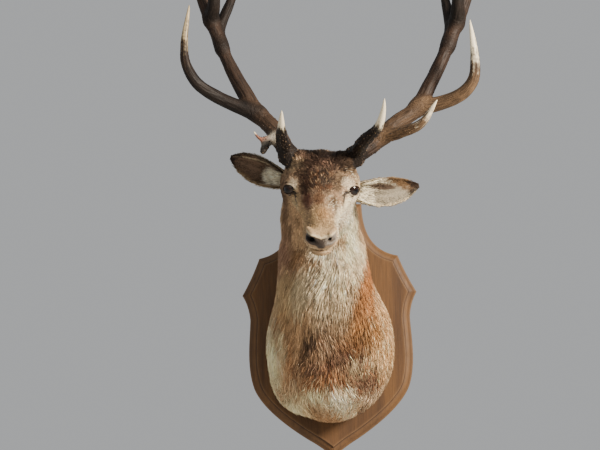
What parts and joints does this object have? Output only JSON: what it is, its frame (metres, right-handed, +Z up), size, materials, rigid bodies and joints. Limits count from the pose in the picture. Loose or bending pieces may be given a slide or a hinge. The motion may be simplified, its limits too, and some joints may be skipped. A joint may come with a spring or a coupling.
{
  "type": "red deer stag head mount",
  "caption": "Taxidermy red deer stag, head and neck with antlers, mounted on an oak shield that hangs on a wall by its flat back.",
  "frame": {"origin": "on the flat back of the shield, on its vertical centre line, 343 mm above its lower point", "axes": "+Y into the wall, square to the shield's back; +Z up the shield; +X to the right as seen by someone facing the mount, so the stag looks along -Y"},
  "size_m": [0.7842, 0.619, 1.3672],
  "materials": {
    "oak": "stained oak, worn satin varnish, moulded edge",
    "coat": "deer coat: short dense hair on the face, long coarse mane on the neck",
    "antler": "antler bone, grooved and stained brown, polished ivory at the tips",
    "glass_eye": "taxidermist's glass eye, near black brown, glossy",
    "screw_steel": "plain steel screw heads, sunk in the back"
  },
  "bodies": {
    "root": {"fixing_screw_1": "screw_steel", "fixing_screw_2": "screw_steel", "fixing_screw_3": "screw_steel", "shield": "oak", "head": "coat", "eye_left": "glass_eye", "eye_right": "glass_eye", "neck": "coat", "brisket": "coat", "ear_left": "coat", "ear_right": "coat", "antler_left_beam_lower": "antler", "antler_left_beam_upper": "antler", "antler_left_brow": "antler", "antler_left_bez": "antler", "antler_left_trez": "antler", "antler_left_crown_inner": "antler", "antler_left_crown_front": "antler", "antler_left_crown_back": "antler", "antler_right_beam_lower": "antler", "antler_right_beam_upper": "antler", "antler_right_brow": "antler", "antler_right_bez": "antler", "antler_right_trez": "antler", "antler_right_crown_inner": "antler", "antler_right_crown_front": "antler", "antler_right_crown_back": "antler"}
  },
  "joints": []
}
